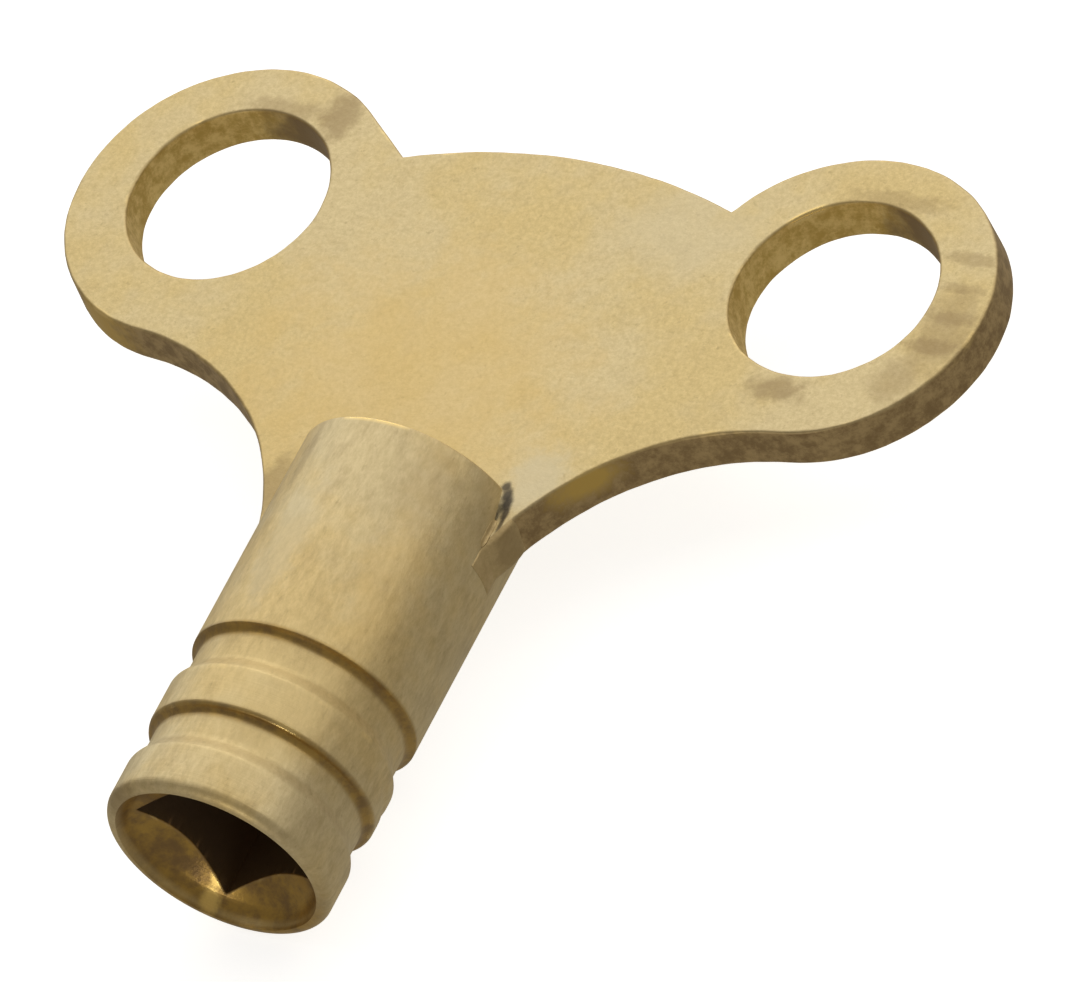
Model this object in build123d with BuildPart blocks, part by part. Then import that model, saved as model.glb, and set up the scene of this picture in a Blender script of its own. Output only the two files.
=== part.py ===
"""Radiator bleed key: a blanked brass wing plate brazed into a slotted, turned brass socket stem.

Frame: origin on the stem axis in the plane of the socket mouth, +Y runs from the mouth
to the handle, +X runs across the two finger rings, +Z is the plate normal. Millimetres.
"""
from build123d import *
import math
import os

os.makedirs("parts", exist_ok=True)

# ---------------------------------------------------------------- wing plate
plate_thickness = 1.8
plate_shift_x = -0.38          # the plate centre line sits beside the stem axis
ring_centre_x = 13.5
ring_centre_y = 28.85
ring_outer_radius = 6.57
ring_hole_radius = 4.15
ring_hole_centre_y = 29.17     # the holes sit slightly high in their rings
crown_centre_y = 10.23
crown_radius = 23.06
left_notch_x = 7.05            # where the crown meets the ring flank
right_notch_x = 7.70
waist_radius = 11.0
waist_centre_x = 15.25
plate_edge_round = 0.12
blanking_draft = 2.2           # degrees; the sheared rim widens towards the back face

# ---------------------------------------------------------------- socket stem
stem_radius = 4.6
stem_length = 17.6
band_radius = 4.63             # the band left standing between the two grooves
lower_groove_start = 1.98
lower_groove_floor_start = 2.60
lower_groove_floor_end = 3.42
lower_groove_end = 3.90
lower_groove_radius = 4.27
upper_groove_start = 5.68
upper_groove_floor_start = 6.28
upper_groove_floor_end = 7.30
upper_groove_end = 7.70
upper_groove_radius = 4.29
mouth_edge_round = 0.45
tail_edge_break = 0.10

# socket: drilled recess with a 118 degree point, pilot drill, broached square
recess_lip_radius = 4.05
recess_radius = 3.90
recess_lip_depth = 0.22
recess_wall_depth = 0.60
recess_root_radius = 0.60      # between the wall and the drill point
drill_point_half_angle = 59.0
square_across_flats = 5.12
square_depth = 8.0
square_rotation = 23.6         # about the stem axis, from +X towards +Z
pilot_radius = 2.50
pilot_depth = 9.0

# slot in the tail of the stem and the sprung corner of the front jaw
slot_floor_y = 14.2
jaw_gap_height = 0.45
jaw_gap_length = 1.5
jaw_gap_inner_x = 2.3
cut_overrun = 1.0              # how far a cutter runs past the stock

# ---------------------------------------------------------------- braze runs
braze_leg_left_front = 0.42
braze_leg_right_front = 0.22
braze_leg_left_back = 0.34
braze_leg_right_back = 0.34
braze_climb = 2.4              # height up the stem over the leg along the plate
braze_right_front_start_y = 15.1
braze_right_front_end_y = 16.7
braze_tail_margin = 0.12
braze_web_low_y = 14.7         # the web over the right rim leaves the slot's mouth here
braze_web_high_y = 16.6        # and ends on the rim here
braze_web_bulge = 0.18         # half way, beyond the straight line between those two
braze_web_sink = 0.10          # below the stem's side, inside the slot's open end

half_thickness = plate_thickness / 2
point_slope = math.tan(math.radians(drill_point_half_angle))


def crown_y(x):
    return crown_centre_y + math.sqrt(crown_radius ** 2 - x ** 2)


# waist circle tangent to the ring, tang corner on the waist circle at the slot floor
waist_centre_y = ring_centre_y - math.sqrt(
    (waist_radius + ring_outer_radius) ** 2 - (waist_centre_x - ring_centre_x) ** 2
)
to_waist = math.atan2(waist_centre_y - ring_centre_y, waist_centre_x - ring_centre_x)


def flank_angle(notch_x):
    """Where on the ring the straight flank down to the notch starts."""
    dx, dy = notch_x - ring_centre_x, crown_y(notch_x) - ring_centre_y
    return math.atan2(dy, dx) - math.acos(ring_outer_radius / math.hypot(dx, dy))


def ring_point(angle, side):
    return (
        plate_shift_x + side * (ring_centre_x + ring_outer_radius * math.cos(angle)),
        ring_centre_y + ring_outer_radius * math.sin(angle),
    )


def waist_point(y, side):
    reach = waist_centre_x - math.sqrt(waist_radius ** 2 - (y - waist_centre_y) ** 2)
    return (plate_shift_x + side * reach, y)


def side_outline(side, notch_x):
    waist_end = ring_point(to_waist, side)
    waist_mid_y = (slot_floor_y + waist_end[1]) / 2
    flank = flank_angle(notch_x)
    ThreePointArc(waist_point(slot_floor_y, side), waist_point(waist_mid_y, side), waist_end)
    ThreePointArc(waist_end, ring_point((to_waist + flank) / 2, side), ring_point(flank, side))
    Line(ring_point(flank, side), (plate_shift_x + side * notch_x, crown_y(notch_x)))


with BuildPart() as wing_plate:
    # outline on the front face
    with BuildSketch(Plane.XY.offset(half_thickness)):
        with BuildLine():
            side_outline(1, right_notch_x)
            ThreePointArc(
                (plate_shift_x + right_notch_x, crown_y(right_notch_x)),
                (plate_shift_x, crown_y(0)),
                (plate_shift_x - left_notch_x, crown_y(left_notch_x)),
            )
            side_outline(-1, left_notch_x)
            Line(waist_point(slot_floor_y, -1), waist_point(slot_floor_y, 1))
        make_face()
    extrude(amount=-plate_thickness, taper=-blanking_draft)
    # tang end square to the slot floor
    with BuildSketch(Plane.XY.offset(-half_thickness)):
        with Locations((0, slot_floor_y)):
            Rectangle(3 * stem_radius, cut_overrun, align=(Align.CENTER, Align.MAX))
    extrude(amount=plate_thickness, mode=Mode.SUBTRACT)
    with BuildSketch(Plane.XY.offset(-half_thickness)):
        with Locations(
            (plate_shift_x - ring_centre_x, ring_hole_centre_y),
            (plate_shift_x + ring_centre_x, ring_hole_centre_y),
        ):
            Circle(ring_hole_radius)
    extrude(amount=plate_thickness, mode=Mode.SUBTRACT)
    # every rim edge except the two at the slot floor
    rim_edges = wing_plate.faces().filter_by(Axis.Z).edges().sort_by(Axis.Y)[2:]
    fillet(rim_edges, radius=plate_edge_round)

# looking along +Y from the mouth: local x is +X, local y is +Z
mouth_plane = Plane(origin=(0, 0, 0), x_dir=(1, 0, 0), z_dir=(0, -1, 0))

with BuildPart() as socket_stem:
    # turned outside profile, radius against distance from the mouth
    with BuildSketch(Plane.XY):
        with BuildLine():
            Line((0, 0), (stem_radius - mouth_edge_round, 0))
            TangentArc(
                (stem_radius - mouth_edge_round, 0),
                (stem_radius, mouth_edge_round),
                tangent=(1, 0),
            )
            Polyline(
                (stem_radius, mouth_edge_round),
                (stem_radius, lower_groove_start),
                (lower_groove_radius, lower_groove_floor_start),
                (lower_groove_radius, lower_groove_floor_end),
            )
            TangentArc(
                (lower_groove_radius, lower_groove_floor_end),
                (band_radius, lower_groove_end),
                tangent=(0, 1),
            )
            Polyline(
                (band_radius, lower_groove_end),
                (band_radius, upper_groove_start),
                (upper_groove_radius, upper_groove_floor_start),
                (upper_groove_radius, upper_groove_floor_end),
            )
            TangentArc(
                (upper_groove_radius, upper_groove_floor_end),
                (stem_radius, upper_groove_end),
                tangent=(0, 1),
            )
            Polyline(
                (stem_radius, upper_groove_end),
                (stem_radius, stem_length - tail_edge_break),
                (stem_radius - tail_edge_break, stem_length),
                (0, stem_length),
                (0, 0),
            )
        make_face()
    revolve(axis=Axis.Y)
    # drilled recess: lip, straight wall, 118 degree point
    with BuildSketch(Plane.XY):
        with BuildLine():
            Polyline(
                (0, 0),
                (recess_lip_radius, 0),
                (recess_radius, recess_lip_depth),
                (recess_radius, recess_wall_depth),
                (0, recess_wall_depth + recess_radius / point_slope),
                (0, 0),
            )
        recess = make_face()
        fillet(recess.vertices().group_by(Axis.X)[-2].sort_by(Axis.Y)[-1], radius=recess_root_radius)
    revolve(axis=Axis.Y, mode=Mode.SUBTRACT)
    # pilot drill with its own point
    with BuildSketch(Plane.XY):
        with BuildLine():
            Polyline(
                (0, 0),
                (pilot_radius, 0),
                (pilot_radius, pilot_depth),
                (0, pilot_depth + pilot_radius / point_slope),
                (0, 0),
            )
        make_face()
    revolve(axis=Axis.Y, mode=Mode.SUBTRACT)
    # broached square
    with BuildSketch(mouth_plane):
        Rectangle(square_across_flats, square_across_flats, rotation=square_rotation)
    extrude(amount=-square_depth, mode=Mode.SUBTRACT)
    # slot across the tail for the plate
    with BuildSketch(Plane.XY.offset(-half_thickness)):
        with Locations((0, slot_floor_y)):
            Rectangle(
                2 * (stem_radius + cut_overrun),
                stem_length + cut_overrun - slot_floor_y,
                align=(Align.CENTER, Align.MIN),
            )
    extrude(amount=plate_thickness, mode=Mode.SUBTRACT)
    # front jaw sprung open at its +X corner
    gap_overrun_height = jaw_gap_height * (1 + cut_overrun / jaw_gap_length)
    with BuildSketch(Plane.YZ.offset(jaw_gap_inner_x)):
        Polygon(
            (stem_length - jaw_gap_length, half_thickness),
            (stem_length + cut_overrun, half_thickness),
            (stem_length + cut_overrun, half_thickness + gap_overrun_height),
            align=None,
        )
    extrude(amount=stem_radius, mode=Mode.SUBTRACT)


def braze_profile(side, face, leg):
    """Cross-section of one run, normal to the stem axis: a triangle from the plate up the stem."""
    seat = side * math.sqrt(stem_radius ** 2 - half_thickness ** 2)
    Polygon(
        (seat - side * leg, face * half_thickness),
        (seat + side * leg, face * half_thickness),
        (seat - side * leg, face * (half_thickness + leg * braze_climb)),
        align=None,
    )


def braze_start(side, leg):
    """Where the plate is wide enough to carry the run."""
    seat = math.sqrt(stem_radius ** 2 - half_thickness ** 2) + leg + plate_edge_round
    reach = seat - side * plate_shift_x
    drop = math.sqrt(waist_radius ** 2 - (waist_centre_x - reach) ** 2)
    return max(slot_floor_y, waist_centre_y + drop)


def subtract_stem_blank():
    with Locations(Location((0, 0, 0), (-90, 0, 0))):
        Cylinder(
            stem_radius,
            stem_length,
            align=(Align.CENTER, Align.CENTER, Align.MIN),
            mode=Mode.SUBTRACT,
        )


braze_tail_y = stem_length - braze_tail_margin

with BuildPart() as braze_left_front:
    start_y = braze_start(-1, braze_leg_left_front)
    with BuildSketch(mouth_plane.offset(-start_y)):
        braze_profile(-1, 1, braze_leg_left_front)
    extrude(amount=-(braze_tail_y - start_y))
    subtract_stem_blank()

with BuildPart() as braze_right_front:
    with BuildSketch(mouth_plane.offset(-braze_right_front_start_y)):
        braze_profile(1, 1, braze_leg_right_front)
    extrude(amount=-(braze_right_front_end_y - braze_right_front_start_y))
    subtract_stem_blank()

with BuildPart() as braze_left_back:
    start_y = braze_start(-1, braze_leg_left_back)
    with BuildSketch(mouth_plane.offset(-start_y)):
        braze_profile(-1, -1, braze_leg_left_back)
    extrude(amount=-(braze_tail_y - start_y))
    subtract_stem_blank()

with BuildPart() as braze_right_back:
    start_y = braze_start(1, braze_leg_right_back)
    with BuildSketch(mouth_plane.offset(-start_y)):
        braze_profile(1, -1, braze_leg_right_back)
    extrude(amount=-(braze_tail_y - start_y))
    subtract_stem_blank()

# filler in the slot's open right end, webbed over the plate's rim
with BuildPart() as braze_right_side:
    sunk_x = math.sqrt(stem_radius ** 2 - half_thickness ** 2) - braze_web_sink
    web_low, web_high = (sunk_x, braze_web_low_y), waist_point(braze_web_high_y, 1)
    web_mid = ((web_low[0] + web_high[0]) / 2 + braze_web_bulge, (web_low[1] + web_high[1]) / 2)
    with BuildSketch(Plane.XY.offset(-half_thickness)):
        with BuildLine():
            Polyline(
                web_low,
                web_mid,
                web_high,
                (sunk_x - cut_overrun, braze_web_high_y),
                (sunk_x - cut_overrun, slot_floor_y),
                (sunk_x, slot_floor_y),
                web_low,
            )
        make_face()
    extrude(amount=plate_thickness)
    add(wing_plate.part, mode=Mode.SUBTRACT)

wing_plate.part.label = "wing_plate"
socket_stem.part.label = "socket_stem"
braze_left_front.part.label = "braze_left_front"
braze_right_front.part.label = "braze_right_front"
braze_left_back.part.label = "braze_left_back"
braze_right_back.part.label = "braze_right_back"
braze_right_side.part.label = "braze_right_side"

export_step(wing_plate.part, "parts/wing_plate.step")
export_step(socket_stem.part, "parts/socket_stem.step")
export_step(braze_left_front.part, "parts/braze_left_front.step")
export_step(braze_right_front.part, "parts/braze_right_front.step")
export_step(braze_left_back.part, "parts/braze_left_back.step")
export_step(braze_right_back.part, "parts/braze_right_back.step")
export_step(braze_right_side.part, "parts/braze_right_side.step")
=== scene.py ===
"""Looks for the radiator bleed key: worn plate, turned stem, braze, brass, studio and camera."""

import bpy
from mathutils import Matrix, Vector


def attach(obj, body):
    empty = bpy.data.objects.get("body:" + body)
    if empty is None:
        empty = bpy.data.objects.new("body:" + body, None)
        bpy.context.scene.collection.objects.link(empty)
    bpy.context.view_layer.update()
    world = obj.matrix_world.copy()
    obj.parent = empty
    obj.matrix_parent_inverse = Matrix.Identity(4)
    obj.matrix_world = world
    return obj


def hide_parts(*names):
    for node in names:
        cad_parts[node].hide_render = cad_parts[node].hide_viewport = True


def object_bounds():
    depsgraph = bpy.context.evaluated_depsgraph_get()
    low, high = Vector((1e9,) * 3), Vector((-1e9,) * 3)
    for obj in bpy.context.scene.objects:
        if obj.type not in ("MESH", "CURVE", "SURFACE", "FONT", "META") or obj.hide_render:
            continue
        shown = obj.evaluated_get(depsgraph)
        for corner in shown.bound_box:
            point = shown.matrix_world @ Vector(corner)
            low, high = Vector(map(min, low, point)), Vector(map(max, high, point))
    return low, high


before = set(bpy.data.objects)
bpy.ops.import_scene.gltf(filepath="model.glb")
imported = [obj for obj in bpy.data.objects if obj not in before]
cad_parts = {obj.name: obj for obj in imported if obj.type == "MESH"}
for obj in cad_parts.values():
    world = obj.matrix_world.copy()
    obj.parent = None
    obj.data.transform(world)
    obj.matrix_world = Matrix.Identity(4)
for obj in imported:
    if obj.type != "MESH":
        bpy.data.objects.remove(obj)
cad_box = [list(corner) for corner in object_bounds()]

import math

import bmesh
import bpy
import numpy as np
from mathutils import Matrix, Vector, noise
from mathutils.geometry import delaunay_2d_cdt

MM = 0.001

# -------------------------------------------------- sizes, in millimetres, as in the CAD unless noted
HALF_THICKNESS = 0.9
PLATE_SHIFT_X = -0.38
RING_CENTRE_X, RING_CENTRE_Y = 13.5, 28.85
RING_OUTER_R, RING_HOLE_R, RING_HOLE_Y = 6.57, 4.15, 29.17
CROWN_CENTRE_Y, CROWN_R = 10.23, 23.06
LEFT_NOTCH_X, RIGHT_NOTCH_X = 7.05, 7.70
DRAFTS = (0.069, 0.05, 0.14)  # only here: how far the back edge stands out; outline, left hole, right hole
WAIST_R, WAIST_CENTRE_X = 11.0, 15.25
STEM_R, STEM_LENGTH, BAND_R = 4.6, 17.6, 4.63
SLOT_FLOOR_Y = 14.2
FRONT_GROOVE_R, REAR_GROOVE_R = 4.27, 4.29
# Along Y: gentle slope's start and foot, steep wall's foot and top. The walls are steeper than the CAD's.
FRONT_GROOVE_YS = (1.98, 2.60, 3.795, 3.90)
REAR_GROOVE_YS = (5.68, 6.28, 7.62, 7.70)
RECESS_LIP_R, RECESS_R, RECESS_WALL_DEPTH = 4.05, 3.90, 0.60
POINT_SLOPE = math.tan(math.radians(59.0))
RECESS_BLEND = 0.34  # only here: how far before its corner the cone starts to flare to the lip
SQUARE_HALF, SQUARE_DEPTH, SQUARE_ROTATION = 2.56, 8.0, math.radians(23.6)
PILOT_R, PILOT_DEPTH = 2.50, 9.0
DRAWN_START_Y, TURNED_END_Y = 7.9, 7.68  # the drawn bar's marks start here, the turning marks end here
NICK_Y, NICK_HALF_WIDTH, NICK_DEPTH = 4.90, 0.22, 0.10
NICK_ANGLE, NICK_SPREAD = -38, 26  # in degrees round the stem from +X
GROOVE_PAINTED_SHADE = ((3.78, 0.30), (7.58, 0.32))  # middle and reach along Y of the painted shade on each steep wall
# reach along Y of the painted shade under the mouth's rim
RIM_PAINTED_SHADE_REACH = 0.40
JAW_GAP_HEIGHT, JAW_GAP_LENGTH, JAW_GAP_INNER_X = 0.45, 1.5, 2.3
WEB_LOW_Y, WEB_HIGH_Y, WEB_BULGE, WEB_SINK = 14.7, 16.6, 0.16, 0.10  # the CAD's bulge is 0.18
WEB_HALF_HEIGHT = 0.885
BRAZE_RISE = 1.7  # how much higher a run stands on the stem than it reaches over the plate


def fractal(x, y, z, octaves=3):
    """Smooth noise in about -1..1 at a point given in its own units."""
    return noise.fractal(Vector((x, y, z)), 1.0, 2.0, octaves)


def object_from(name, verts, faces, attributes):
    """A mesh piece from millimetre points, smooth shaded, with named float attributes per vertex."""
    mesh = bpy.data.meshes.new(name)
    mesh.from_pydata([tuple(c * MM for c in v) for v in verts], [], faces)
    for key, values in attributes.items():
        mesh.attributes.new(key, "FLOAT", "POINT").data.foreach_set("value", np.array(values, np.float32))
    mesh.polygons.foreach_set("use_smooth", [True] * len(mesh.polygons))
    piece = bpy.data.objects.new(name, mesh)
    bpy.context.scene.collection.objects.link(piece)
    bm = bmesh.new()
    bm.from_mesh(mesh)
    bmesh.ops.recalc_face_normals(bm, faces=bm.faces)
    bm.to_mesh(mesh)
    bm.free()
    return piece


# ------------------------------------------------------------------ wing plate
def arc(centre, radius, start, end, step=0.12):
    """Points along an arc, end point left out."""
    count = max(2, round(abs(end - start) * radius / step))
    angles = [start + (end - start) * i / count for i in range(count)]
    return [(centre[0] + radius * math.cos(a), centre[1] + radius * math.sin(a)) for a in angles]


def straight(a, b, step=0.12):
    """Points along a line, end point left out."""
    count = max(2, round(math.dist(a, b) / step))
    return [(a[0] + (b[0] - a[0]) * i / count, a[1] + (b[1] - a[1]) * i / count) for i in range(count)]


def waist_centre_y():
    """Y of the waist arc's centre, set so that the arc touches the ring's."""
    return RING_CENTRE_Y - math.sqrt((WAIST_R + RING_OUTER_R) ** 2 - (WAIST_CENTRE_X - RING_CENTRE_X) ** 2)


def waist_reach(y):
    """Half the plate's width in the waist at that height."""
    return WAIST_CENTRE_X - math.sqrt(WAIST_R ** 2 - (y - waist_centre_y()) ** 2)


def side_points(notch_x):
    """The +X side of the blank, from the tang's corner round the ring to the notch, end point left out."""
    waist_y = waist_centre_y()
    to_waist = math.atan2(waist_y - RING_CENTRE_Y, WAIST_CENTRE_X - RING_CENTRE_X)
    notch_y = CROWN_CENTRE_Y + math.sqrt(CROWN_R ** 2 - notch_x ** 2)
    dx, dy = notch_x - RING_CENTRE_X, notch_y - RING_CENTRE_Y
    flank = math.atan2(dy, dx) - math.acos(RING_OUTER_R / math.hypot(dx, dy))
    tang_angle = math.pi - math.asin((SLOT_FLOOR_Y - waist_y) / WAIST_R)
    ring = (RING_CENTRE_X, RING_CENTRE_Y)
    flank_end = (ring[0] + RING_OUTER_R * math.cos(flank), ring[1] + RING_OUTER_R * math.sin(flank))
    side = arc((WAIST_CENTRE_X, waist_y), WAIST_R, tang_angle, to_waist + math.pi)
    side += arc(ring, RING_OUTER_R, to_waist, flank)
    return side + straight(flank_end, (notch_x, notch_y)), (notch_x, notch_y)


def plate_outline():
    """The blank's outline, counter-clockwise from the right corner of the tang."""
    right, _ = side_points(RIGHT_NOTCH_X)
    side, notch = side_points(LEFT_NOTCH_X)
    left = [(-x, y) for x, y in reversed(side + [notch])]
    middle = math.pi / 2
    start, end = middle - math.asin(RIGHT_NOTCH_X / CROWN_R), middle + math.asin(LEFT_NOTCH_X / CROWN_R)
    crown = arc((0, CROWN_CENTRE_Y), CROWN_R, start, end)
    tang = straight(left[-1], right[0])[1:]
    return [(x + PLATE_SHIFT_X, y) for x, y in right + crown + left + tang]


def loop_normals(loop):
    """Unit normals pointing to the right of the direction of travel: out of a counter-clockwise loop."""
    p = np.array(loop)
    t = np.roll(p, -1, 0) - np.roll(p, 1, 0)
    n = np.stack([t[:, 1], -t[:, 0]], 1)
    return n / np.linalg.norm(n, axis=1)[:, None]


def edge_section(top_round, bottom_round, draft):
    """Inset, height, edge and side values from the top face, over the rim, to the bottom face."""
    h = HALF_THICKNESS
    rows = [(top_round + 0.10, h, 0, 0), (top_round + 0.02, h, 0.35, 0)]
    for i in range(6):
        a = math.radians(90 * i / 5)
        rows.append((top_round * (1 - math.sin(a)), h - top_round * (1 - math.cos(a)), 1, 0.2 * i))
    for i in range(1, 7):
        share = i / 7
        rows.append((-draft * share, h - top_round - (2 * h - top_round - bottom_round) * share, 0, 1))
    for i in range(5):
        a = math.radians(90 * (1 - i / 4))
        inset = bottom_round * (1 - math.sin(a)) - draft
        rows.append((inset, -h + bottom_round * (1 - math.cos(a)), 1, 1 - 0.25 * i))
    rows.append((bottom_round + 0.10 - draft, -h, 0, 0))
    return rows


def face_lift(x, y):
    """The plate's faint waviness in height, in millimetres."""
    return 0.010 * fractal(x * 0.16, y * 0.16, 4.2) + 0.0035 * fractal(x * 0.9, y * 0.9, 7.7, 2)


def make_plate():
    loops = [np.array(plate_outline())]
    for side in (-1, 1):
        centre = (PLATE_SHIFT_X + side * RING_CENTRE_X, RING_HOLE_Y)
        loops.append(np.array(arc(centre, RING_HOLE_R, 0, -2 * math.pi)))
    verts, faces, edge, rim, bore = [], [], [], [], []
    top_loops, bottom_loops = [], []
    for k, loop in enumerate(loops):
        normals = loop_normals(loop.tolist())
        count = len(loop)
        first = len(verts)
        rows = 0
        for i, ((x, y), (nx, ny)) in enumerate(zip(loop, normals)):
            wander = 0.020 * fractal(x * 0.35, y * 0.35, 11.0 + k) + 0.010 * fractal(x * 1.7, y * 1.7, 3.0, 2)
            worn = 0.5 + 0.5 * fractal(x * 0.5, y * 0.5, 21.0 + k)
            section = edge_section(0.08 + 0.08 * worn, 0.10 + 0.05 * worn, DRAFTS[k])
            rows = len(section)
            for inset, z, e, s in section:
                reach = wander - inset
                px, py = x + nx * reach, y + ny * reach
                lift = face_lift(px, py) * (1 if abs(z) > HALF_THICKNESS - 0.2 else 0)
                verts.append((px, py, z + lift))
                edge.append(e)
                rim.append(s)
                bore.append(s if k else 0)
        for i in range(count):
            a, b = first + i * rows, first + (i + 1) % count * rows
            for j in range(rows - 1):
                faces.append((a + j, a + j + 1, b + j + 1, b + j))
        top_loops.append([first + i * rows for i in range(count)])
        bottom_loops.append([first + i * rows + rows - 1 for i in range(count)])
    fill_face(verts, faces, edge, rim, top_loops, 1)
    fill_face(verts, faces, edge, rim, bottom_loops, -1)
    bore += [0] * (len(verts) - len(bore))
    piece = object_from("handle_plate", verts, faces, {"edge": edge, "rim": rim, "bore": bore})
    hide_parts("wing_plate")
    return piece


def fill_face(verts, faces, edge, rim, loops, sign):
    """Triangles between the outer loop and the two hole loops, with inner points for the waviness."""
    points, owners, edges = [], [], []
    for loop in loops:
        base = len(points)
        points += [Vector(verts[i][:2]) for i in loop]
        owners += loop
        edges += [(base + i, base + (i + 1) % len(loop)) for i in range(len(loop))]
    boundary = np.array([tuple(p) for p in points])
    spacing = 0.7
    xs = np.arange(-22, 22, spacing)
    ys = np.arange(13, 37, spacing * 0.866)
    for row, gy in enumerate(ys):
        for gx in xs + (row % 2) * spacing / 2:
            if np.min(np.hypot(boundary[:, 0] - gx, boundary[:, 1] - gy)) > 0.4:
                points.append(Vector((gx, gy)))
                owners.append(-1)
    out_v, _, out_f, orig, _, _ = delaunay_2d_cdt(points, edges, [], 1, 1e-7)
    index = {}
    rings = [np.array([tuple(verts[i][:2]) for i in loop]) for loop in loops]
    for triangle in out_f:
        cx = sum(out_v[i][0] for i in triangle) / 3
        cy = sum(out_v[i][1] for i in triangle) / 3
        if not inside(rings[0], cx, cy) or inside(rings[1], cx, cy) or inside(rings[2], cx, cy):
            continue
        corners = []
        for i in triangle:
            if i not in index:
                source = orig[i][0] if orig[i] else -1
                owner = owners[source] if source >= 0 else -1
                if owner < 0:
                    x, y = out_v[i]
                    owner = len(verts)
                    verts.append((x, y, sign * HALF_THICKNESS + face_lift(x, y)))
                    edge.append(0)
                    rim.append(0)
                index[i] = owner
            corners.append(index[i])
        if len(set(corners)) == 3:
            faces.append(tuple(corners))


def inside(loop, x, y):
    """True where the point is inside the closed loop."""
    x1, y1 = loop[:, 0], loop[:, 1]
    x2, y2 = np.roll(x1, -1), np.roll(y1, -1)
    crosses = (y1 > y) != (y2 > y)
    with np.errstate(divide="ignore", invalid="ignore"):
        at = x1 + (y - y1) * (x2 - x1) / (y2 - y1)
    return bool(np.sum(crosses & (x < at)) % 2)


# ------------------------------------------------------------------ socket stem
AROUND = 288


def rounded_path(corners, step=0.14):
    """Dense (y, r, edge) stations along straight runs whose corners (y, r, tangent length) are arcs."""
    stations = []
    last = Vector(corners[0][:2])
    for i in range(1, len(corners) - 1):
        before, here, after = (Vector(corners[j][:2]) for j in (i - 1, i, i + 1))
        rounding = corners[i][2]
        d1, d2 = (before - here).normalized(), (after - here).normalized()
        start, end = here + d1 * rounding, here + d2 * rounding
        count = max(1, round((start - last).length / step))
        for j in range(count):
            p = last.lerp(start, j / count)
            stations.append((p.x, p.y, 0.0))
        convex = 1.0 if d1.x * d2.y - d1.y * d2.x > 0 else 0.0
        pieces = max(5, round(rounding * 22)) if rounding > 0 else 1
        weight = math.sqrt((1 - d1.dot(d2)) / 2)
        for j in range(pieces):
            t = j / pieces
            w = ((1 - t) ** 2, 2 * weight * t * (1 - t), t * t)
            p = (start * w[0] + here * w[1] + end * w[2]) / sum(w)
            stations.append((p.x, p.y, convex * min(1.0, 0.12 / max(rounding, 0.01))))
        last = end
    tail = Vector(corners[-1][:2])
    count = max(1, round((tail - last).length / step))
    for j in range(count + 1):
        p = last.lerp(tail, j / count)
        stations.append((p.x, p.y, 0.0))
    return stations


def square_radius(angle):
    """Distance from the axis to the socket's wall."""
    off = (angle - SQUARE_ROTATION + math.pi / 4) % (math.pi / 2) - math.pi / 4
    return min(SQUARE_HALF / math.cos(off), SQUARE_HALF * math.sqrt(2) - 0.02)


def socket_stations(wall):
    """(y, r, edge, depth) from the pilot's point to the mouth's rim, for a wall at that radius."""
    edge_y = RECESS_WALL_DEPTH + (RECESS_R - wall) / POINT_SLOPE
    rows = [(PILOT_DEPTH, PILOT_R, 0, 1), (SQUARE_DEPTH, PILOT_R, 0, 1), (SQUARE_DEPTH, wall, 0, 1)]
    for i in range(1, 14):
        share = i / 13
        y = SQUARE_DEPTH + (edge_y + 0.06 - SQUARE_DEPTH) * share
        rows.append((y, wall, 0, 1 - 0.25 * share))
    cone = Vector((-1, POINT_SLOPE)).normalized()
    here = Vector((edge_y, wall))
    for i in range(5):
        t = i / 4
        start, end = here + Vector((0.06, 0)), here + cone * 0.06
        p = start.lerp(here, t).lerp(here.lerp(end, t), t)
        rows.append((p.x, p.y, 1, 0.7))
    corner, lip = Vector((RECESS_WALL_DEPTH, RECESS_R)), Vector((0.0, RECESS_LIP_R + 0.05))
    blend = corner - cone * RECESS_BLEND
    for i in range(1, 9):
        p = (here + cone * 0.06).lerp(blend, i / 9)
        rows.append((p.x, p.y, 0, 0.5))
    for i in range(15):
        t = i / 14
        p = blend.lerp(corner, t).lerp(corner.lerp(lip, t), t)
        rows.append((p.x, p.y, max(0.0, 3 * t - 2) * 0.6, 0.5 - 0.46 * max(0.0, 2 * t - 1)))
    return rows


def outer_stations():
    """(y, r, edge) from the rim, over the lands and grooves, to the tail."""
    return rounded_path(
        [
            (0.0, RECESS_LIP_R + 0.06, 0),
            (0.0, STEM_R, 0.45),
            (FRONT_GROOVE_YS[0], STEM_R, 0.12),
            (FRONT_GROOVE_YS[1], FRONT_GROOVE_R, 0.18),
            (FRONT_GROOVE_YS[2], FRONT_GROOVE_R, 0.22),
            (FRONT_GROOVE_YS[3], BAND_R, 0.15),
            (REAR_GROOVE_YS[0], BAND_R, 0.10),
            (REAR_GROOVE_YS[1], REAR_GROOVE_R, 0.18),
            (REAR_GROOVE_YS[2], REAR_GROOVE_R, 0.27),
            (REAR_GROOVE_YS[3], STEM_R, 0.04),
            (STEM_LENGTH - 0.08, STEM_R, 0.03),
            (STEM_LENGTH, STEM_R - 0.08, 0.03),
            (STEM_LENGTH, 0.4, 0),
        ]
    )


def surface_offset(angle, y):
    """How far the turned surface departs from its ideal radius at a place."""
    ca, sa = math.cos(angle), math.sin(angle)
    if y > DRAWN_START_Y:
        marks = 0.009 * fractal(ca * 5.5, sa * 5.5, y * 0.05)
    else:
        marks = 0.003 * fractal(ca * 4, sa * 4, y * 0.3)
    turn = (math.degrees(angle) + 180) % 360 - 180
    across, around = (y - NICK_Y) / NICK_HALF_WIDTH, (turn - NICK_ANGLE) / NICK_SPREAD
    return marks - NICK_DEPTH * math.exp(-(across ** 4) - around ** 2)


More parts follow.
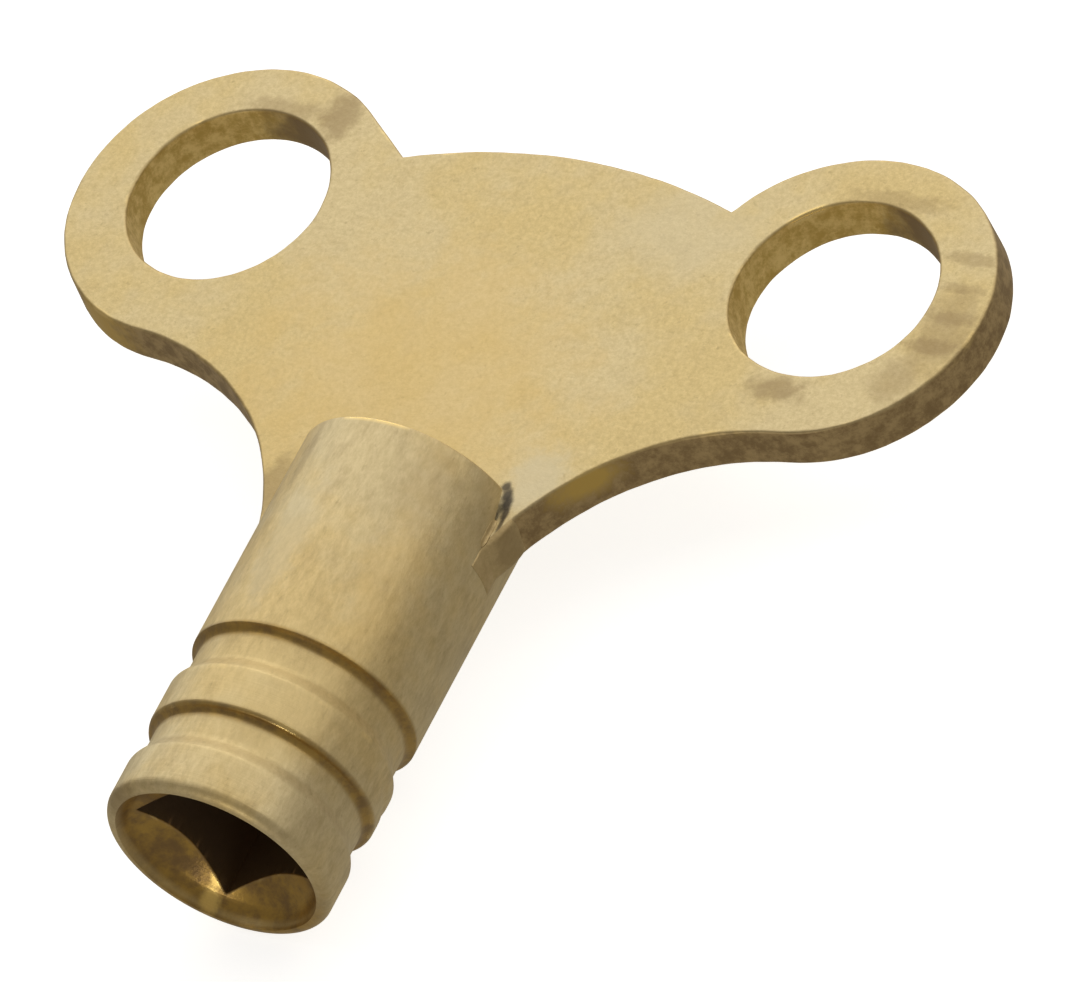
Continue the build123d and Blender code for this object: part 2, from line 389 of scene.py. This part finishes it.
def groove_shade(y):
    """Painted shade on the grooves' steep walls, fading to both sides."""
    return 0.37 * max(0.0, *(1 - ((y - middle) / reach) ** 2 for middle, reach in GROOVE_PAINTED_SHADE))


def rim_shade(y, z):
    """Painted shade wrapped round the underside of the mouth's rim."""
    return 0.38 * max(0.0, 1 - y / RIM_PAINTED_SHADE_REACH) * min(1.0, max(0.0, 0.25 - z / STEM_R))


def make_stem():
    verts, faces, edge, socket_depth_and_shade, turned = [], [], [], [], []
    angles = [SQUARE_ROTATION + 2 * math.pi * i / AROUND for i in range(AROUND)]
    columns = []
    outside = outer_stations()
    for a in angles:
        ca, sa = math.cos(a), math.sin(a)
        column = []
        for y, r, e, d in socket_stations(square_radius(a)):
            column.append((r * ca, y, r * sa, e, d))
        for y, r, e in outside:
            worn = r + (surface_offset(a, y) if 0.3 < y < STEM_LENGTH - 0.05 else 0.0)
            column.append((worn * ca, y, worn * sa, e, 0))
        columns.append(column)
    rows = len(columns[0])
    for column in columns:
        for x, y, z, e, d in column:
            verts.append((x, y, z))
            edge.append(e)
            # Besides the recess's depth, this value carries painted shade on the grooves' steep walls and
            # under the mouth's rim.
            socket_depth_and_shade.append(max(d, groove_shade(y), rim_shade(y, z)))
            turned.append(1 if y < TURNED_END_Y else 0)
    for i in range(AROUND):
        a, b = i * rows, (i + 1) % AROUND * rows
        for j in range(rows - 1):
            faces.append((a + j, a + j + 1, b + j + 1, b + j))
    for y, j, d in ((PILOT_DEPTH + PILOT_R / POINT_SLOPE, 0, 1.0), (STEM_LENGTH, rows - 1, 0.0)):
        tip = len(verts)
        verts.append((0.0, y, 0.0))
        edge.append(0)
        socket_depth_and_shade.append(d)
        turned.append(0)
        for i in range(AROUND):
            faces.append((tip, i * rows + j, (i + 1) % AROUND * rows + j))
    values = {"edge": edge, "socket_depth_and_shade": socket_depth_and_shade, "turned": turned}
    piece = object_from("stem", verts, faces, values)
    cut_with(piece, slot_cutter())
    cut_with(piece, jaw_gap_cutter())
    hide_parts("socket_stem")
    return piece


def prism(name, profile, low, high):
    """A closed prism: a (y, z) profile run from x = low to x = high."""
    n = len(profile)
    verts = [(x, y, z) for x in (low, high) for y, z in profile]
    faces = [tuple(range(n)), tuple(range(2 * n - 1, n - 1, -1))]
    faces += [(i, n + i, n + (i + 1) % n, (i + 1) % n) for i in range(n)]
    return object_from(name, verts, faces, {})


def slot_cutter():
    h = HALF_THICKNESS + 0.004
    return prism("slot_cutter", [(SLOT_FLOOR_Y, -h), (19, -h), (19, h), (SLOT_FLOOR_Y, h)], -6, 6)


def jaw_gap_cutter():
    start = STEM_LENGTH - JAW_GAP_LENGTH
    h = HALF_THICKNESS - 0.01
    top = HALF_THICKNESS + JAW_GAP_HEIGHT * (1 + 1 / JAW_GAP_LENGTH)
    return prism("gap_cutter", [(start, h), (STEM_LENGTH + 1, h), (STEM_LENGTH + 1, top)], JAW_GAP_INNER_X, 6)


def cut_with(piece, cutter):
    """Subtracts the cutter for good and keeps smooth shading except over sharp edges."""
    modifier = piece.modifiers.new("cut", "BOOLEAN")
    modifier.operation, modifier.solver, modifier.object = "DIFFERENCE", "EXACT", cutter
    cut = bpy.data.meshes.new_from_object(piece.evaluated_get(bpy.context.evaluated_depsgraph_get()))
    piece.modifiers.clear()
    cut.name = piece.name
    piece.data = cut
    bpy.data.objects.remove(cutter)
    piece.data.set_sharp_from_angle(angle=math.radians(50))


# ------------------------------------------------------------------ braze runs
def make_braze(name, node, side, face, leg, start, end, seed):
    """A lumpy fillet in the corner between the plate's face and the stem's side."""
    seat = math.sqrt(STEM_R ** 2 - HALF_THICKNESS ** 2)
    along, across = 60, 9
    verts, faces = [], []
    for i in range(along + 1):
        t = i / along
        y = start + (end - start) * t
        ends = min(1.0, 6 * t, 5 * (1 - t)) ** 0.5
        swell = ends * (1 + 0.28 * fractal(y * 1.4, seed, 0.0, 2))
        width, height = max(0.02, leg * swell), max(0.02, leg * BRAZE_RISE * swell)
        foot = Vector((seat + width, HALF_THICKNESS))
        angle = math.asin((HALF_THICKNESS + height) / STEM_R)
        head = Vector((STEM_R * math.cos(angle), STEM_R * math.sin(angle)))
        corner = Vector((seat + width * 0.15, HALF_THICKNESS + height * 0.12))
        for j in range(across):
            s = j / (across - 1)
            p = foot.lerp(corner, s).lerp(corner.lerp(head, s), s)
            verts.append((side * p.x, y, face * (p.y + (0.004 if 0 < j < across - 1 else -0.01))))
        verts.append((side * (head.x - 0.03), y, face * head.y))
        verts.append((side * (seat - 0.05), y, face * (HALF_THICKNESS - 0.01)))
    ring = across + 2
    for i in range(along):
        for j in range(ring):
            a, b = i * ring + j, i * ring + (j + 1) % ring
            faces.append((a, b, b + ring, a + ring))
    faces.append(tuple(range(ring)))
    faces.append(tuple(along * ring + j for j in range(ring)))
    piece = object_from(name, verts, faces, {})
    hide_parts(node)
    return piece


def make_web():
    """Filler flush with the stem in the slot's right end, then webbed over the plate's right rim."""
    sunk_x = math.sqrt(STEM_R ** 2 - HALF_THICKNESS ** 2) - WEB_SINK
    high_x = PLATE_SHIFT_X + waist_reach(WEB_HIGH_Y)
    foot_y = SLOT_FLOOR_Y + 0.01
    along, across = 44, 12
    verts, faces = [], []
    for i in range(along + 1):
        y = foot_y + (WEB_HIGH_Y - foot_y) * i / along
        t = max(0.0, (y - WEB_LOW_Y) / (WEB_HIGH_Y - WEB_LOW_Y))
        web = sunk_x + (high_x - sunk_x) * t + WEB_BULGE * 4 * t * (1 - t)
        for j in range(across + 1):
            z = WEB_HALF_HEIGHT * (2 * j / across - 1)
            over = web - 0.10 * max(0.0, (abs(z) - 0.7) / 0.185) ** 2 + 0.018 * fractal(y * 1.3, z * 1.3, 5.5)
            flush = math.sqrt(STEM_R ** 2 - z ** 2) + 0.004
            verts.append((max(over, flush), y, z))
        verts += [(sunk_x - 0.5, y, WEB_HALF_HEIGHT), (sunk_x - 0.5, y, -WEB_HALF_HEIGHT)]
    ring = across + 3
    for i in range(along):
        for j in range(ring):
            a, b = i * ring + j, i * ring + (j + 1) % ring
            faces.append((a, b, b + ring, a + ring))
    faces += [tuple(range(ring)), tuple(along * ring + j for j in range(ring))]
    piece = object_from("braze_web_right", verts, faces, {})
    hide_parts("braze_right_side")
    return piece


# ------------------------------------------------------------------ materials
# The dark brown is tarnish in blotches, pits, streaks and seams, and painted shade in a few patches; the ash
# grey is a pale stain on the plate and a painted reflection on the stem; the soot black is a flux stain
# together with the painted shadow in the jaw's gap.
PALE, GOLD, TARNISH_AND_PAINTED_SHADE = (0.66, 0.545, 0.31), (0.68, 0.54, 0.265), (0.30, 0.21, 0.10)
ASH_AND_PAINTED_REFLECTION, GAP_SHADOW_AND_FLUX, RICH = (0.62, 0.55, 0.38), (0.055, 0.045, 0.035), (0.71, 0.51, 0.20)
GRAIN_DARK, GRAIN_PALE = (0.74, 0.71, 0.62), (1.20, 1.22, 1.28)
# Bright tones: worn edges with painted glints, and painted highlights in the bowl.
WORN_EDGE_AND_GLINT, BOWL_PAINTED_HIGHLIGHT = (0.95, 0.72, 0.30), (0.98, 0.70, 0.22)
RAGGED, FAIRLY_RAGGED, CLEAN = 1.3, 0.7, 0.5  # how far a spot's border wanders


def node_kit(material):
    """The material's emptied node tree and a function that adds a node to it."""
    tree = material.node_tree
    tree.nodes.clear()

    def add(kind, **settings):
        node = tree.nodes.new(kind)
        for key, value in settings.items():
            if key in node.inputs:
                node.inputs[key].default_value = value
            else:
                setattr(node, key, value)
        return node

    return tree, add


def math_node(tree, add, operation, a, b=None, clamp=False):
    node = add("ShaderNodeMath", operation=operation, use_clamp=clamp)
    for i, value in enumerate((a, b)):
        if value is None:
            continue
        if isinstance(value, (int, float)):
            node.inputs[i].default_value = value
        else:
            tree.links.new(value, node.inputs[i])
    return node.outputs[0]


def noise_value(tree, add, vector, scale, detail=3.0, roughness=0.55, stretch=None):
    """Noise at `scale` features per millimetre, optionally stretched along an axis."""
    mapping = add("ShaderNodeMapping", vector_type="POINT")
    factors = stretch or (1, 1, 1)
    mapping.inputs["Scale"].default_value = [scale / MM * f for f in factors]
    tree.links.new(vector, mapping.inputs["Vector"])
    texture = add("ShaderNodeTexNoise", Scale=1.0, Detail=detail, Roughness=roughness)
    tree.links.new(mapping.outputs[0], texture.inputs["Vector"])
    return texture.outputs["Fac"]


def ramp(tree, add, value, low, high):
    """0 below low, 1 above high, smooth between."""
    node = add("ShaderNodeMapRange", interpolation_type="SMOOTHSTEP")
    node.inputs["From Min"].default_value = low
    node.inputs["From Max"].default_value = high
    tree.links.new(value, node.inputs["Value"])
    return node.outputs[0]


def blend_colour(tree, add, factor, a, b, mode="MIX"):
    node = add("ShaderNodeMix", data_type="RGBA", blend_type=mode)
    for socket, value in ((node.inputs[0], factor), (node.inputs[6], a), (node.inputs[7], b)):
        if isinstance(value, (int, float)):
            socket.default_value = value
        elif isinstance(value, tuple):
            socket.default_value = (*value, 1.0)
        else:
            tree.links.new(value, socket)
    return node.outputs[2]


def spot(tree, add, vector, centre, reach, ragged=RAGGED):
    """1 at a point, falling to 0 at the reach along each axis (all in millimetres), with a ragged border."""
    offset = add("ShaderNodeVectorMath", operation="SUBTRACT")
    offset.inputs[1].default_value = [c * MM for c in centre]
    tree.links.new(vector, offset.inputs[0])
    scaled = add("ShaderNodeVectorMath", operation="MULTIPLY")
    scaled.inputs[1].default_value = [1 / (r * MM) for r in reach]
    tree.links.new(offset.outputs[0], scaled.inputs[0])
    length = add("ShaderNodeVectorMath", operation="LENGTH")
    tree.links.new(scaled.outputs[0], length.inputs[0])
    border = math_node(tree, add, "SUBTRACT", noise_value(tree, add, vector, 1.6 / min(reach), 4, 0.6), 0.5)
    wander = math_node(tree, add, "MULTIPLY", border, ragged)
    uneven = math_node(tree, add, "ADD", length.outputs["Value"], wander)
    return math_node(tree, add, "SUBTRACT", 1.0, ramp(tree, add, uneven, 0.35, 1.1))


def brass(
    name, pale, gold, tarnish, patches=(), streaks=None, roughness=0.46, mottle=0.14, rim=None, bowl=None,
    glints=(),
):
    """Tumbled brass: cloudy tone, fine grain, patches of other tones, among them painted shade and painted
    reflection, a few bright worn edges and painted glints.

    rim describes the plate's sheared sides and bored holes, with spots of painted light and shade; bowl the
    stem's recess and socket, whose colours also paint shade on the grooves' steep walls and under the mouth's
    rim.
    """
    material = bpy.data.materials.new(name)
    material.use_nodes = True
    tree, add = node_kit(material)
    vector = add("ShaderNodeTexCoord").outputs["Object"]
    clouds = ramp(tree, add, noise_value(tree, add, vector, 0.16, 4, 0.6), 0.40, 0.62)
    colour = blend_colour(tree, add, clouds, pale, gold)
    blotch = ramp(tree, add, noise_value(tree, add, vector, 1.5, 5, 0.7, streaks), 0.42, 0.78)
    colour = blend_colour(tree, add, math_node(tree, add, "MULTIPLY", blotch, mottle), colour, tarnish)
    pits = ramp(tree, add, noise_value(tree, add, vector, 4.0, 3, 0.6, streaks), 0.62, 0.74)
    colour = blend_colour(tree, add, math_node(tree, add, "MULTIPLY", pits, 0.25), colour, tarnish)
    grain = noise_value(tree, add, vector, 4.5, 5, 0.8, streaks)
    colour = blend_colour(
        tree, add, 0.48, colour,
        blend_colour(tree, add, ramp(tree, add, grain, 0.25, 0.75), GRAIN_DARK, GRAIN_PALE),
        "MULTIPLY",
    )
    for centre, reach, strength, tone in patches:
        ragged = CLEAN if tone == GAP_SHADOW_AND_FLUX else RAGGED
        mask = math_node(tree, add, "MULTIPLY", spot(tree, add, vector, centre, reach, ragged), strength)
        colour = blend_colour(tree, add, mask, colour, tone)
    rough = math_node(tree, add, "ADD", roughness, math_node(tree, add, "MULTIPLY", clouds, 0.05))
    if rim:
        side = add("ShaderNodeAttribute", attribute_name="rim").outputs["Fac"]
        in_hole = add("ShaderNodeAttribute", attribute_name="bore").outputs["Fac"]
        scuffed = ramp(tree, add, noise_value(tree, add, vector, 1.6, 5, 0.75), 0.36, 0.66)
        sheared = blend_colour(tree, add, scuffed, rim["sheared_dark"], rim["sheared_pale"])
        # Painted light: lighter golden spots on the sheared sides.
        for centre, reach in rim["painted_light_spots"]:
            mask = spot(tree, add, vector, centre, reach)
            sheared = blend_colour(tree, add, mask, sheared, rim["bored_dark"])
        bored = blend_colour(tree, add, scuffed, rim["bored_dark"], rim["bored_pale"])
        # Painted shade: darker spots on the holes' back walls.
        for centre, reach in rim["painted_shade_spots"]:
            mask = spot(tree, add, vector, centre, reach)
            bored = blend_colour(tree, add, mask, bored, rim["sheared_dark"])
        colour = blend_colour(tree, add, side, colour, blend_colour(tree, add, in_hole, sheared, bored))
    if bowl:
        # The recess's own colours, also laid on the grooves' steep walls and under the mouth's rim as painted
        # shade.
        depth_and_painted_shade = add("ShaderNodeAttribute", attribute_name="socket_depth_and_shade").outputs["Fac"]
        bowl_and_painted_shade = ramp(tree, add, depth_and_painted_shade, 0.0, 0.45)
        smear = ramp(tree, add, noise_value(tree, add, vector, 0.8, 4, 0.7), 0.34, 0.68)
        smeared_and_painted_shade = blend_colour(tree, add, smear, bowl["golden_and_painted_shade"], bowl["smeared_and_painted_shade"])
        colour = blend_colour(tree, add, bowl_and_painted_shade, colour, smeared_and_painted_shade)
        # Painted highlights: a bright streak on the recess's cone.
        for centre, reach in bowl["painted_highlights"]:
            mask = spot(tree, add, vector, centre, reach, FAIRLY_RAGGED)
            shine = math_node(tree, add, "MULTIPLY", mask, 0.8)
            colour = blend_colour(tree, add, shine, colour, BOWL_PAINTED_HIGHLIGHT)
        colour = blend_colour(tree, add, ramp(tree, add, depth_and_painted_shade, 0.65, 0.8), colour, bowl["socket"])
        rough = math_node(tree, add, "SUBTRACT", rough, math_node(tree, add, "MULTIPLY", bowl_and_painted_shade, 0.18))
    # Rounded edges turn brighter and smoother: partly real polish from wear, partly painted glint; the listed
    # glints are painted highlights.
    worn = add("ShaderNodeAttribute", attribute_name="edge").outputs["Fac"]
    patchy = ramp(tree, add, noise_value(tree, add, vector, 0.6, 4, 0.6), 0.54, 0.72)
    edge_polish_and_glint = math_node(tree, add, "MULTIPLY", math_node(tree, add, "MULTIPLY", worn, patchy), 0.5)
    for centre, reach in glints:
        shine = math_node(tree, add, "MULTIPLY", worn, spot(tree, add, vector, centre, (reach, reach, reach)))
        edge_polish_and_glint = math_node(tree, add, "MAXIMUM", edge_polish_and_glint, shine)
    colour = blend_colour(tree, add, math_node(tree, add, "MULTIPLY", edge_polish_and_glint, 0.85), colour, WORN_EDGE_AND_GLINT)
    rough = math_node(tree, add, "SUBTRACT", rough, math_node(tree, add, "MULTIPLY", edge_polish_and_glint, 0.22))
    fine = noise_value(tree, add, vector, 6.5, 3, 0.7, streaks)
    dents = noise_value(tree, add, vector, 1.1, 4, 0.6, streaks)
    height = math_node(tree, add, "ADD", fine, math_node(tree, add, "MULTIPLY", dents, 1.6))
    if bowl:
        turned = add("ShaderNodeAttribute", attribute_name="turned").outputs["Fac"]
        rings = noise_value(tree, add, vector, 8.0, 3, 0.7, (0.02, 1, 0.02))
        height = math_node(tree, add, "ADD", height, math_node(tree, add, "MULTIPLY", rings, turned))
    bump = add("ShaderNodeBump", Strength=0.34, Distance=0.00003)
    tree.links.new(height, bump.inputs["Height"])
    shader = add("ShaderNodeBsdfPrincipled")
    shader.inputs["Metallic"].default_value = 0.85
    tree.links.new(colour, shader.inputs["Base Color"])
    tree.links.new(rough, shader.inputs["Roughness"])
    tree.links.new(bump.outputs[0], shader.inputs["Normal"])
    output = add("ShaderNodeOutputMaterial")
    tree.links.new(shader.outputs[0], output.inputs["Surface"])
    return material


def set_material(piece, material):
    """Makes it the piece's only material."""
    piece.data.materials.clear()
    piece.data.materials.append(material)


right_x, left_x = PLATE_SHIFT_X + RING_CENTRE_X, PLATE_SHIFT_X - RING_CENTRE_X

plate_brass = brass(
    "plate_brass_looks", PALE, GOLD, TARNISH_AND_PAINTED_SHADE,
    patches=[
        ((-2.0, 22.0, 0.9), (9.0, 8.0, 3), 0.40, RICH),
        ((6.0, 31.0, 0.9), (3.6, 2.6, 3), 0.30, ASH_AND_PAINTED_REFLECTION),
        ((right_x + 5.3, RING_CENTRE_Y - 0.9, 0.9), (1.5, 2.4, 3), 0.42, TARNISH_AND_PAINTED_SHADE),
        ((right_x + 5.0, RING_CENTRE_Y + 2.6, 0.9), (1.6, 0.4, 3), 0.42, TARNISH_AND_PAINTED_SHADE),
        ((right_x + 5.2, RING_CENTRE_Y + 1.2, 0.9), (1.4, 0.3, 3), 0.38, TARNISH_AND_PAINTED_SHADE),
        ((right_x + 5.3, RING_CENTRE_Y - 0.2, 0.9), (1.4, 0.4, 3), 0.42, TARNISH_AND_PAINTED_SHADE),
        ((right_x + 5.2, RING_CENTRE_Y - 1.6, 0.9), (1.5, 0.5, 3), 0.48, TARNISH_AND_PAINTED_SHADE),
        ((right_x + 4.3, RING_CENTRE_Y - 3.4, 0.9), (1.2, 1.4, 3), 0.38, TARNISH_AND_PAINTED_SHADE),
        ((right_x - 0.2, RING_CENTRE_Y - 4.6, 0.9), (1.5, 0.8, 3), 0.60, TARNISH_AND_PAINTED_SHADE),
        # painted shade along the right hole's back edge
        ((right_x + 0.8, RING_HOLE_Y + 4.4, 0.9), (2.8, 0.6, 3), 0.35, TARNISH_AND_PAINTED_SHADE),
        ((left_x + 3.0, RING_CENTRE_Y + 4.7, 0.9), (1.0, 1.6, 3), 0.60, TARNISH_AND_PAINTED_SHADE),
        # painted shade along the left hole's back edge
        ((left_x + 0.6, RING_HOLE_Y + 4.4, 0.9), (2.4, 0.6, 3), 0.40, TARNISH_AND_PAINTED_SHADE),
        ((-5.3, 16.2, 0.9), (1.3, 1.8, 3), 0.50, TARNISH_AND_PAINTED_SHADE),
        ((-4.55, 16.6, 0.9), (0.32, 1.3, 1), 0.55, TARNISH_AND_PAINTED_SHADE),
        ((5.3, 18.4, 0.9), (1.4, 2.0, 3), 0.55, ASH_AND_PAINTED_REFLECTION),
        # a flux stain and painted shadow in the gap under the stem's jaw
        ((4.20, 17.95, 0.9), (0.26, 0.32, 1), 0.85, GAP_SHADOW_AND_FLUX),
        ((4.42, 17.60, 0.9), (0.28, 0.42, 1), 0.90, GAP_SHADOW_AND_FLUX),
        ((4.60, 17.20, 0.9), (0.26, 0.50, 1), 0.90, GAP_SHADOW_AND_FLUX),
        ((4.74, 16.75, 0.9), (0.18, 0.50, 1), 0.85, GAP_SHADOW_AND_FLUX),
        ((4.78, 16.20, 0.9), (0.11, 0.60, 1), 0.75, GAP_SHADOW_AND_FLUX),
    ],
    rim={
        "sheared_dark": (0.30, 0.205, 0.095),
        "sheared_pale": (0.50, 0.365, 0.18),
        "bored_dark": (0.62, 0.43, 0.12),
        "bored_pale": (0.90, 0.69, 0.28),
        # painted light on the sheared sides, near the stem and at the left ring
        "painted_light_spots": [
            ((7.0, 19.0, 0.5), (1.9, 1.7, 1.0)),
            ((left_x - 3.0, RING_CENTRE_Y - 5.9, 0.0), (2.2, 1.6, 2.0)),
        ],
        # painted shade on the holes' back walls
        "painted_shade_spots": [
            ((right_x + 2.2, RING_HOLE_Y + 3.6, 0.0), (2.6, 2.6, 3)),
            ((left_x + 1.8, RING_HOLE_Y + 3.8, 0.0), (2.8, 2.8, 3)),
        ],
    },
    glints=[
        ((10.25, 32.17, 0.9), 0.8), ((10.75, 32.6, 0.9), 0.6), ((left_x - 3.1, 32.4, 0.9), 0.35),
        ((7.4, 18.9, 0.9), 0.4),
    ],
)
stem_brass = brass(
    "stem_brass_looks", (0.66, 0.545, 0.315), (0.68, 0.53, 0.26), TARNISH_AND_PAINTED_SHADE,
    streaks=(1, 0.4, 1), mottle=0.30,
    bowl={
        "golden_and_painted_shade": (0.46, 0.29, 0.07),
        "smeared_and_painted_shade": (0.24, 0.15, 0.06),
        "socket": (0.34, 0.24, 0.15),
        # painted highlights: a bright streak on the cone
        "painted_highlights": [
            ((-1.55, 1.00, -2.80), (0.35, 0.50, 0.45)),
            ((-1.85, 0.45, -3.45), (0.45, 0.70, 0.70)),
        ],
    },
    patches=[
        ((1.5, 4.6, 4.3), (3.0, 4.5, 2.5), 0.45, (0.74, 0.59, 0.30)),
        # painted reflection: the stem's upper left greyer where it mirrors the pale surroundings
        ((-1.0, 11.5, 4.4), (1.2, 4.0, 2.0), 0.35, ASH_AND_PAINTED_REFLECTION),
        ((3.2, 11.0, 3.2), (1.6, 4.0, 2.0), 0.30, RICH),
        # painted shade: the dark surroundings reflected on the stem's right
        ((2.9, 15.6, 3.6), (1.3, 2.6, 1.5), 0.22, TARNISH_AND_PAINTED_SHADE),
        ((-2.4, 15.8, 3.9), (0.35, 2.0, 1.5), 0.35, TARNISH_AND_PAINTED_SHADE),
        # painted shade on the mouth's rounded rim at the upper left
        ((-2.9, 0.10, 3.0), (1.7, 0.45, 1.7), 0.55, TARNISH_AND_PAINTED_SHADE),
    ],
    glints=[
        ((2.40, 3.56, 3.69), 0.7), ((2.66, 4.04, 3.75), 0.7), ((2.06, 0.06, 4.0), 0.4),
        ((2.75, 0.08, 3.5), 0.5), ((-0.6, 17.55, 4.5), 0.9), ((0.7, 17.55, 4.5), 0.9),
    ],
)
braze_filler = brass(
    "braze_filler_looks", (0.58, 0.46, 0.28), (0.52, 0.40, 0.22), (0.20, 0.15, 0.10), roughness=0.50,
)
dark_filler = brass(
    "dark_filler_looks", (0.56, 0.43, 0.22), (0.50, 0.37, 0.17), TARNISH_AND_PAINTED_SHADE, roughness=0.50,
    patches=[((5.0, 15.9, 0.0), (0.9, 0.9, 1.5), 0.5, TARNISH_AND_PAINTED_SHADE)],
)

plate = make_plate()
set_material(plate, plate_brass)
stem = make_stem()
set_material(stem, stem_brass)
pieces = [plate, stem]
BRAZE_RUNS = [
    ("braze_run_left_front", "braze_left_front", -1, 1, 0.42, 14.4, 17.5, 1.0),
    ("braze_run_right_front", "braze_right_front", 1, 1, 0.12, 15.1, 16.4, 5.0),
    ("braze_run_left_back", "braze_left_back", -1, -1, 0.32, 14.4, 17.5, 9.0),
    ("braze_run_right_back", "braze_right_back", 1, -1, 0.32, 16.1, 17.5, 13.0),
]
for run in BRAZE_RUNS:
    fillet = make_braze(*run)
    set_material(fillet, dark_filler if run[1] == "braze_right_front" else braze_filler)
    pieces.append(fillet)
web = make_web()
set_material(web, dark_filler)
pieces.append(web)
for piece in pieces:
    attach(piece, "root")

# ------------------------------------------------------------------ studio
FLOOR_Z = cad_box[0][2]


def make_floor():
    """A pale floor that also glows, and that the brass doesn't reflect."""
    material = bpy.data.materials.new("pale_floor")
    material.use_nodes = True
    shader = material.node_tree.nodes["Principled BSDF"]
    shader.inputs["Base Color"].default_value = (0.60, 0.60, 0.60, 1)
    shader.inputs["Roughness"].default_value = 0.9
    shader.inputs["Emission Color"].default_value = (1, 1, 1, 1)
    shader.inputs["Emission Strength"].default_value = 0.80
    half = 1.5
    mesh = bpy.data.meshes.new("floor")
    corners = [(-half, -half), (half, -half), (half, half), (-half, half)]
    mesh.from_pydata([(x, y, FLOOR_Z) for x, y in corners], [], [(0, 1, 2, 3)])
    floor = bpy.data.objects.new("floor", mesh)
    bpy.context.scene.collection.objects.link(floor)
    floor.visible_glossy = False
    set_material(floor, material)


def area_light(name, direction, distance, size, power, colour):
    """A square soft light aimed at the middle of the key from a direction."""
    light = bpy.data.lights.new(name, "AREA")
    light.shape, light.size, light.energy, light.color = "SQUARE", size, power, colour
    lamp = bpy.data.objects.new(name, light)
    aim = Vector((0, 0.018, 0))
    towards = Vector(direction).normalized()
    lamp.location = aim + towards * distance
    lamp.rotation_euler = towards.to_track_quat("Z", "Y").to_euler()
    bpy.context.scene.collection.objects.link(lamp)


def make_studio():
    make_floor()
    area_light("top_softbox", (-0.33, 0.48, 0.80), 0.5, 0.75, 1.36, (1.0, 0.99, 0.97))
    area_light("left_softbox", (-0.86, 0.48, 0.08), 0.5, 0.3, 0.24, (0.93, 0.97, 1.0))
    area_light("right_softbox", (0.62, 0.48, 0.62), 0.5, 0.3, 0.35, (1.0, 0.98, 0.95))
    area_light("back_softbox", (-0.20, 0.93, 0.17), 0.5, 0.6, 0.8, (1.0, 0.98, 0.95))
    area_light("mouth_card", (-0.08, -1.0, 0.06), 0.4, 0.08, 0.12, (1.0, 0.95, 0.86))
    world = bpy.data.worlds.new("studio")
    world.use_nodes = True
    background = world.node_tree.nodes["Background"]
    background.inputs["Color"].default_value = (1.0, 0.91, 0.75, 1)
    background.inputs["Strength"].default_value = 0.28
    bpy.context.scene.world = world
    bpy.context.scene.view_settings.view_transform = "Standard"


# ------------------------------------------------------------------ camera
CAMERA_AZIMUTH, CAMERA_ELEVATION, CAMERA_ROLL = (math.radians(a) for a in (46.63, 45.82, -27.72))
CAMERA_AIM = Vector((0.00501, 0.01862, 0.0))
CAMERA_DISTANCE = 0.52307
CAMERA_LENS = 466.67


def make_camera():
    """A long lens above the mouth and to its right, rolled so that the mouth points down and left."""
    data = bpy.data.cameras.new("camera")
    data.lens, data.sensor_width = CAMERA_LENS, 36
    data.clip_start, data.clip_end = 0.05, 5
    camera = bpy.data.objects.new("camera", data)
    level = math.cos(CAMERA_ELEVATION)
    back = Vector((
        math.sin(CAMERA_AZIMUTH) * level, -math.cos(CAMERA_AZIMUTH) * level, math.sin(CAMERA_ELEVATION)
    ))
    level_right = Vector((0, 0, 1)).cross(back).normalized()
    level_up = back.cross(level_right)
    right = level_right * math.cos(CAMERA_ROLL) + level_up * math.sin(CAMERA_ROLL)
    up = back.cross(right)
    rotation = Matrix((right, up, back)).transposed().to_4x4()
    camera.matrix_world = Matrix.Translation(CAMERA_AIM + back * CAMERA_DISTANCE) @ rotation
    bpy.context.scene.collection.objects.link(camera)
    bpy.context.scene.camera = camera


make_studio()
make_camera()
